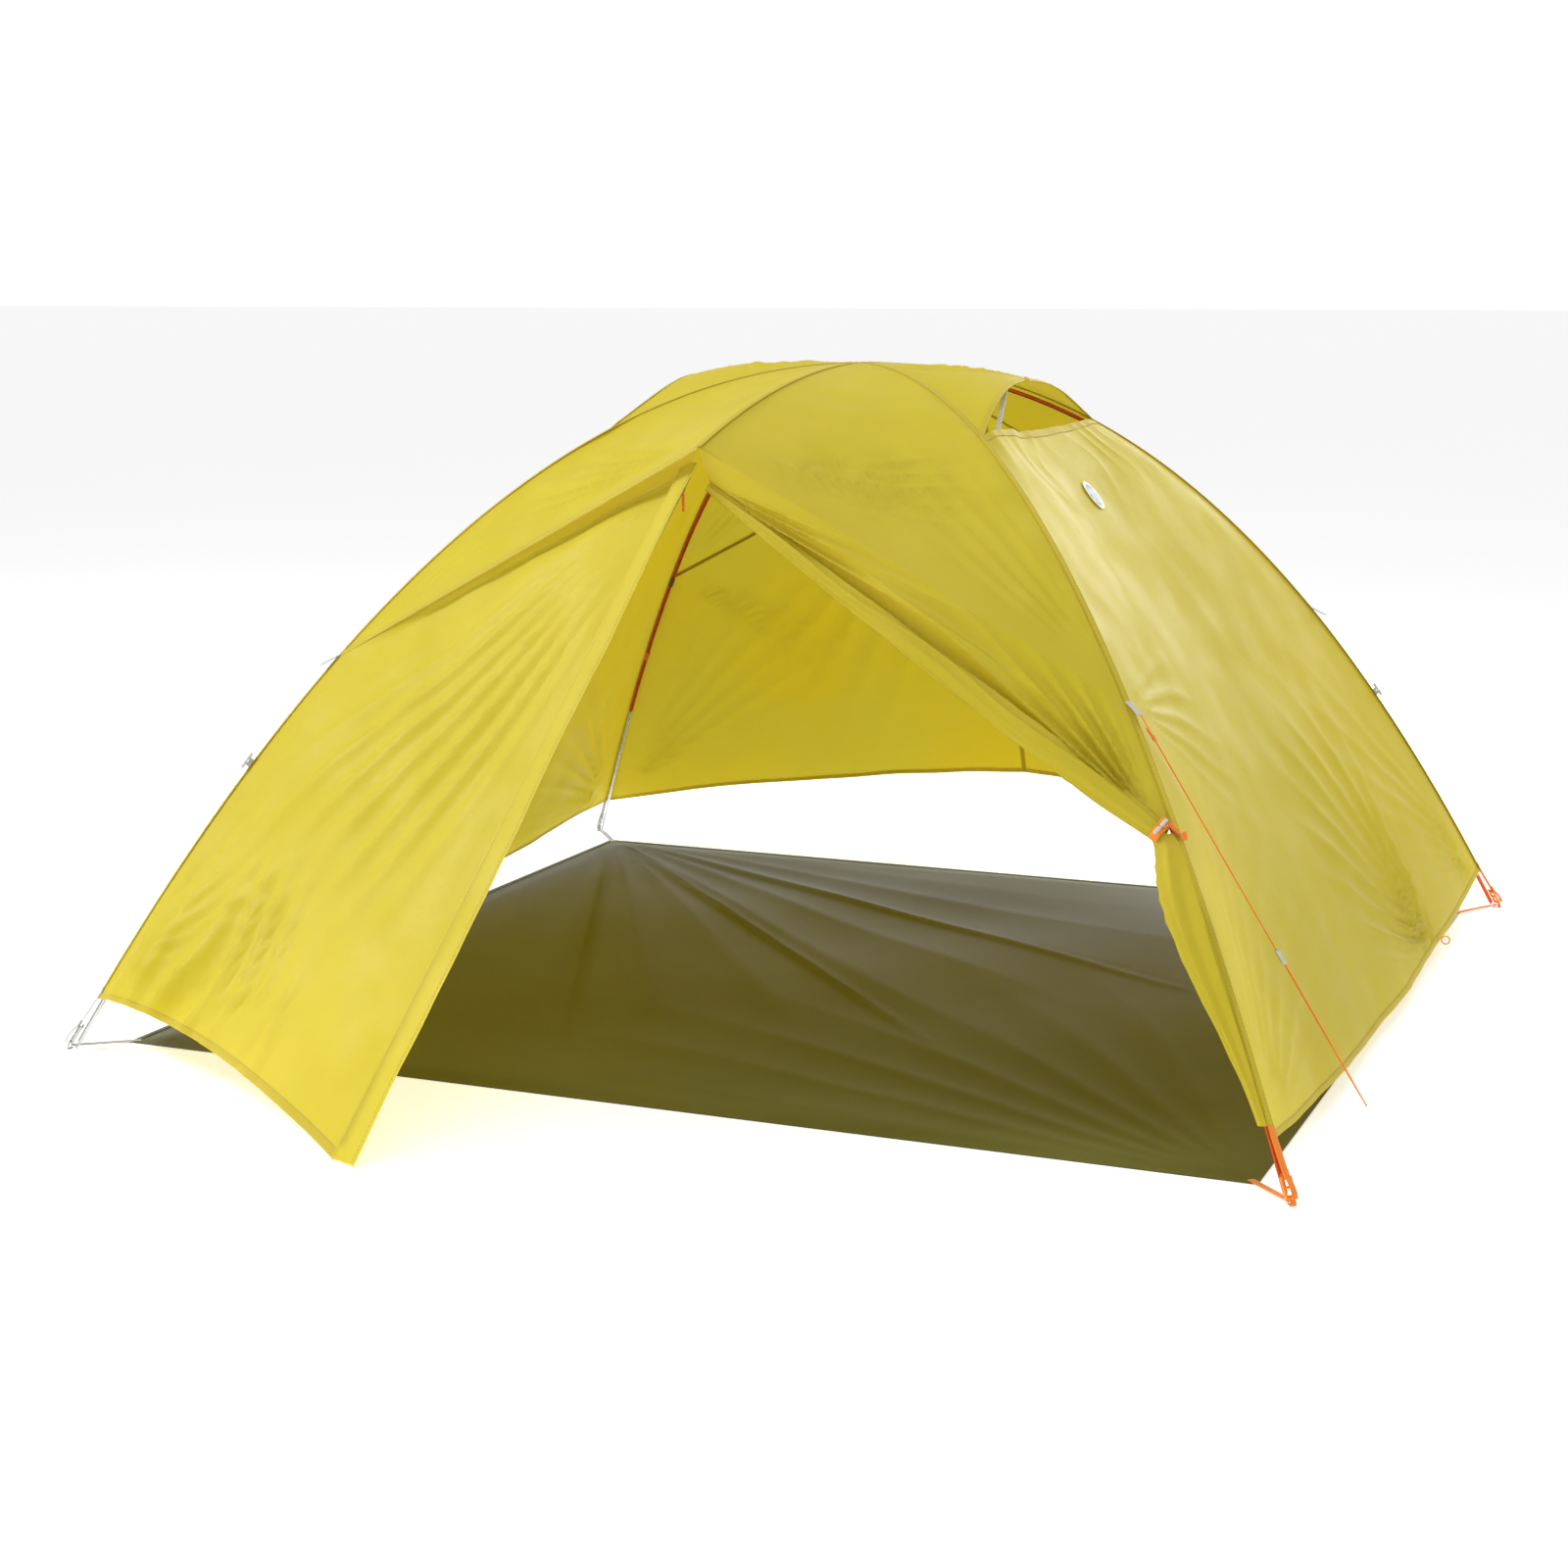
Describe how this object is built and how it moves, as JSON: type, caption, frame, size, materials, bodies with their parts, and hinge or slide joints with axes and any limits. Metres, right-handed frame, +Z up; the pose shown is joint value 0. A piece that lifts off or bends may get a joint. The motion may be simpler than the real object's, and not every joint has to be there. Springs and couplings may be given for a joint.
{
  "type": "tent on poles",
  "caption": "Two-person dome tent pitched as rain fly, hubbed poles and footprint: half of the front door rolled back, arched back opening, two propped roof vents and one guyline.",
  "frame": {"origin": "centre of the footprint's underside on the ground", "axes": "+X towards the tent's right end wall, +Y from the front door to the back opening, +Z up"},
  "size_m": [2.4742, 2.8213, 1.34],
  "materials": {
    "fly_fabric": "silicone-coated ripstop nylon, slight sheen",
    "footprint_fabric": "coated ripstop nylon, matte",
    "pale_webbing": "woven polyester tape",
    "orange_webbing": "woven polyester tape",
    "brown_webbing": "woven polyester tape",
    "silver_tube": "clear anodised, satin",
    "orange_tube": "colour anodised, satin",
    "turned_alloy": "turned, bright",
    "hub_plastic": "moulded nylon",
    "elastic_cord": "braided elastic",
    "orange_plastic": "moulded acetal",
    "pale_plastic": "moulded acetal",
    "orange_cord": "braided cord with pale flecks",
    "zip_fabric": "woven zip tape",
    "zip_metal": "plated, satin",
    "patch_film": "printed film, blank"
  },
  "bodies": {
    "tent": {"brow_clip": "hub_plastic", "brow_pole_caps": "hub_plastic", "brow_pole_sections": "orange_tube", "corner_webbing_left": "pale_webbing", "corner_webbing_right": "orange_webbing", "door_skirt": "fly_fabric", "fly_back_left": "fly_fabric", "fly_back_right": "fly_fabric", "fly_end_left": "fly_fabric", "fly_end_right": "fly_fabric", "fly_front_left": "fly_fabric", "fly_front_right": "fly_fabric", "fly_roof_back_left": "fly_fabric", "fly_roof_back_right": "fly_fabric", "fly_roof_front_left": "fly_fabric", "fly_roof_front_right": "fly_fabric", "fly_straps_left": "pale_webbing", "fly_straps_right": "orange_webbing", "footprint": "footprint_fabric", "guy_tabs": "pale_webbing", "guy_wraps": "brown_webbing", "guyline": "orange_cord", "guyline_knot": "orange_cord", "hem_loops": "orange_webbing", "hub_pin": "turned_alloy", "pole_ferrules": "silver_tube", "pole_foot_sections_left": "silver_tube", "pole_foot_sections_right": "orange_tube", "pole_hub": "hub_plastic", "pole_sections_back_left": "orange_tube", "pole_sections_back_right": "orange_tube", "pole_sections_front_left": "orange_tube", "pole_sections_front_right": "orange_tube", "pole_tips": "turned_alloy", "rolled_door": "fly_fabric", "round_patch": "patch_film", "shock_cords": "elastic_cord", "storm_flap": "fly_fabric", "tie_band": "orange_webbing", "tie_wraps": "orange_webbing", "tieback_loops": "pale_webbing", "vent_hood_left": "fly_fabric", "vent_hood_right": "fly_fabric", "zip_tape": "zip_fabric"},
    "toggle_front_left": {"toggle_front_left": "pale_plastic"},
    "toggle_front_right": {"toggle_front_right": "pale_plastic"},
    "toggle_back_right": {"toggle_back_right": "pale_plastic"},
    "toggle_back_left": {"toggle_back_left": "pale_plastic"},
    "buckle_front_left": {"corner_buckle_front_left": "pale_plastic"},
    "buckle_front_right": {"corner_buckle_front_right": "orange_plastic"},
    "buckle_back_right": {"corner_buckle_back_right": "orange_plastic"},
    "buckle_back_left": {"corner_buckle_back_left": "pale_plastic"},
    "prop_left": {"vent_prop_left": "pale_plastic"},
    "prop_right": {"vent_prop_right": "pale_plastic"},
    "zip_slider": {"zip_slider": "zip_metal"},
    "zip_pull": {"zip_pull": "orange_plastic"},
    "tensioner": {"guyline_tensioner": "pale_plastic"}
  },
  "joints": [
    {"name": "toggle_front_left_turn", "type": "hinge", "parent": "tent", "child": "toggle_front_left", "pos_m": [-0.95954, -0.92834, 0.56327], "axis": [-0.5591, -0.5409, 0.6283], "range_deg": [-90, 90]},
    {"name": "toggle_front_right_turn", "type": "hinge", "parent": "tent", "child": "toggle_front_right", "pos_m": [0.92575, -0.9452, 0.57461], "axis": [0.2938, -0.7297, 0.6175], "range_deg": [-90, 90]},
    {"name": "toggle_back_right_turn", "type": "hinge", "parent": "tent", "child": "toggle_back_right", "pos_m": [0.95954, 0.92834, 0.56327], "axis": [0.5591, 0.5409, 0.6283], "range_deg": [-90, 90]},
    {"name": "toggle_back_left_turn", "type": "hinge", "parent": "tent", "child": "toggle_back_left", "pos_m": [-0.95954, 0.92834, 0.56327], "axis": [-0.5591, 0.5409, 0.6283], "range_deg": [-90, 90]},
    {"name": "buckle_front_left_tilt", "type": "hinge", "parent": "tent", "child": "buckle_front_left", "pos_m": [-1.22474, -1.18491, 0.01586], "axis": [0.6953, -0.7187, 0], "range_deg": [0, 40]},
    {"name": "buckle_front_right_tilt", "type": "hinge", "parent": "tent", "child": "buckle_front_right", "pos_m": [1.22474, -1.18491, 0.01586], "axis": [0.6953, 0.7187, 0], "range_deg": [0, 40]},
    {"name": "buckle_back_right_tilt", "type": "hinge", "parent": "tent", "child": "buckle_back_right", "pos_m": [1.22474, 1.18491, 0.01586], "axis": [-0.6953, 0.7187, 0], "range_deg": [0, 40]},
    {"name": "buckle_back_left_tilt", "type": "hinge", "parent": "tent", "child": "buckle_back_left", "pos_m": [-1.22474, 1.18491, 0.01586], "axis": [-0.6953, -0.7187, 0], "range_deg": [0, 40]},
    {"name": "vent_prop_left_fold", "type": "hinge", "parent": "tent", "child": "prop_left", "pos_m": [-0.39047, -0.2531, 1.20625], "axis": [-0.9827, 0.1852, 0], "range_deg": [0, 30]},
    {"name": "vent_prop_right_fold", "type": "hinge", "parent": "tent", "child": "prop_right", "pos_m": [0.39047, -0.2531, 1.20625], "axis": [-0.9827, -0.1852, 0], "range_deg": [0, 30]},
    {"name": "zip_slide", "type": "slide", "parent": "tent", "child": "zip_slider", "axis": [-0.2286, -0.5463, -0.8058], "range_m": [0, 1.25]},
    {"name": "zip_pull_swing", "type": "hinge", "parent": "zip_slider", "child": "zip_pull", "pos_m": [-0.03851, -0.82592, 1.11663], "axis": [0.9171, -0.3984, 0.0099], "range_deg": [-25, 100]},
    {"name": "tensioner_slide", "type": "slide", "parent": "tent", "child": "tensioner", "axis": [0.4405, 0.2726, -0.8554], "range_m": [0, 0.2]}
  ]
}
